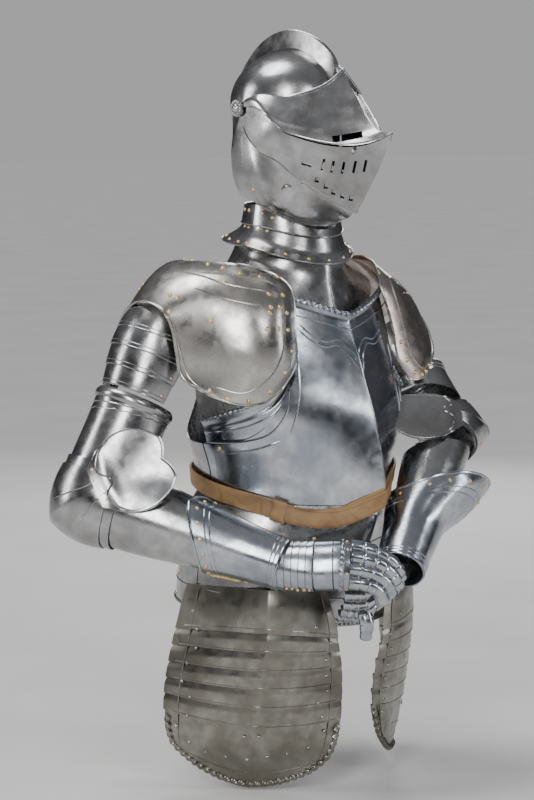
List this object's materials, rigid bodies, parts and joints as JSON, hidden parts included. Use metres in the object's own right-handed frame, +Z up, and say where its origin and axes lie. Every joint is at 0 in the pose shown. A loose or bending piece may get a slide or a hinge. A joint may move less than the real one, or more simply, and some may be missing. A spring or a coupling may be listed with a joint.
{
  "type": "corselet armour",
  "caption": "Half armour of polished steel plates with a close helmet, gorget, breast and back, whole arms with clasped gauntlets, leather belt, fauld and tassets, worn but empty.",
  "frame": {"origin": "the middle of the neck, at the level where it meets the shoulders, where the wearer holds the suit up", "axes": "+Z up; the wearer faces -Y; the wearer's left is +X"},
  "size_m": [0.6308, 0.4247, 1.0744],
  "materials": {
    "steel": "polished steel with old mottling",
    "bright_steel": "brightly polished steel",
    "dull_steel": "worn brownish steel",
    "tan_leather": "smooth tan leather"
  },
  "bodies": {
    "suit": {"helmet_skull": "steel", "neck_lame_upper_back": "steel", "neck_lame_lower_back": "steel", "gorget_front": "steel", "gorget_back": "steel", "backplate": "steel", "fauld_front": "steel", "culet_back": "steel", "shoulder_lame_1_right": "steel", "shoulder_lame_2_right": "steel", "shoulder_lame_3_right": "steel", "shoulder_lame_4_right": "steel", "shoulder_lame_1_left": "steel", "shoulder_lame_2_left": "steel", "shoulder_lame_3_left": "steel", "shoulder_lame_4_left": "steel", "upper_cannon_right": "steel", "lower_cannon_right": "steel", "couter_right": "steel", "elbow_lame_upper_right": "steel", "elbow_lame_lower_right": "steel", "upper_cannon_left": "steel", "lower_cannon_left": "steel", "couter_left": "steel", "elbow_lame_upper_left": "steel", "elbow_lame_lower_left": "steel", "pivot_right": "bright_steel", "pivot_left": "bright_steel", "breastplate": "bright_steel", "gusset_right": "bright_steel", "gusset_left": "bright_steel", "gauntlet_cuff_right": "bright_steel", "gauntlet_cuff_left": "bright_steel", "pauldron_right": "bright_steel", "pauldron_left": "bright_steel", "wrist_lames_right": "bright_steel", "hand_plate_right": "bright_steel", "knuckle_plate_right": "bright_steel", "fingers_right": "bright_steel", "thumb_right": "bright_steel", "wrist_lames_left": "bright_steel", "hand_plate_left": "bright_steel", "fingers_left": "bright_steel", "thumb_left": "bright_steel", "tasset_right": "dull_steel", "tasset_left": "dull_steel", "belt": "tan_leather", "belt_end": "tan_leather"},
    "bevor": {"helmet_bevor": "steel", "neck_lame_upper_front": "steel", "neck_lame_lower_front": "steel"},
    "ventail": {"helmet_ventail": "steel"},
    "visor": {"helmet_visor": "steel"}
  },
  "joints": [
    {"name": "bevor_lift", "type": "hinge", "parent": "suit", "child": "bevor", "pos_m": [0, 0, 0.262], "axis": [-1, 0, 0], "range_deg": [0, 40]},
    {"name": "ventail_lift", "type": "hinge", "parent": "bevor", "child": "ventail", "pos_m": [0, 0, 0.262], "axis": [-1, 0, 0], "range_deg": [0, 30]},
    {"name": "visor_lift", "type": "hinge", "parent": "ventail", "child": "visor", "pos_m": [0, 0, 0.262], "axis": [-1, 0, 0], "range_deg": [0, 35]}
  ]
}
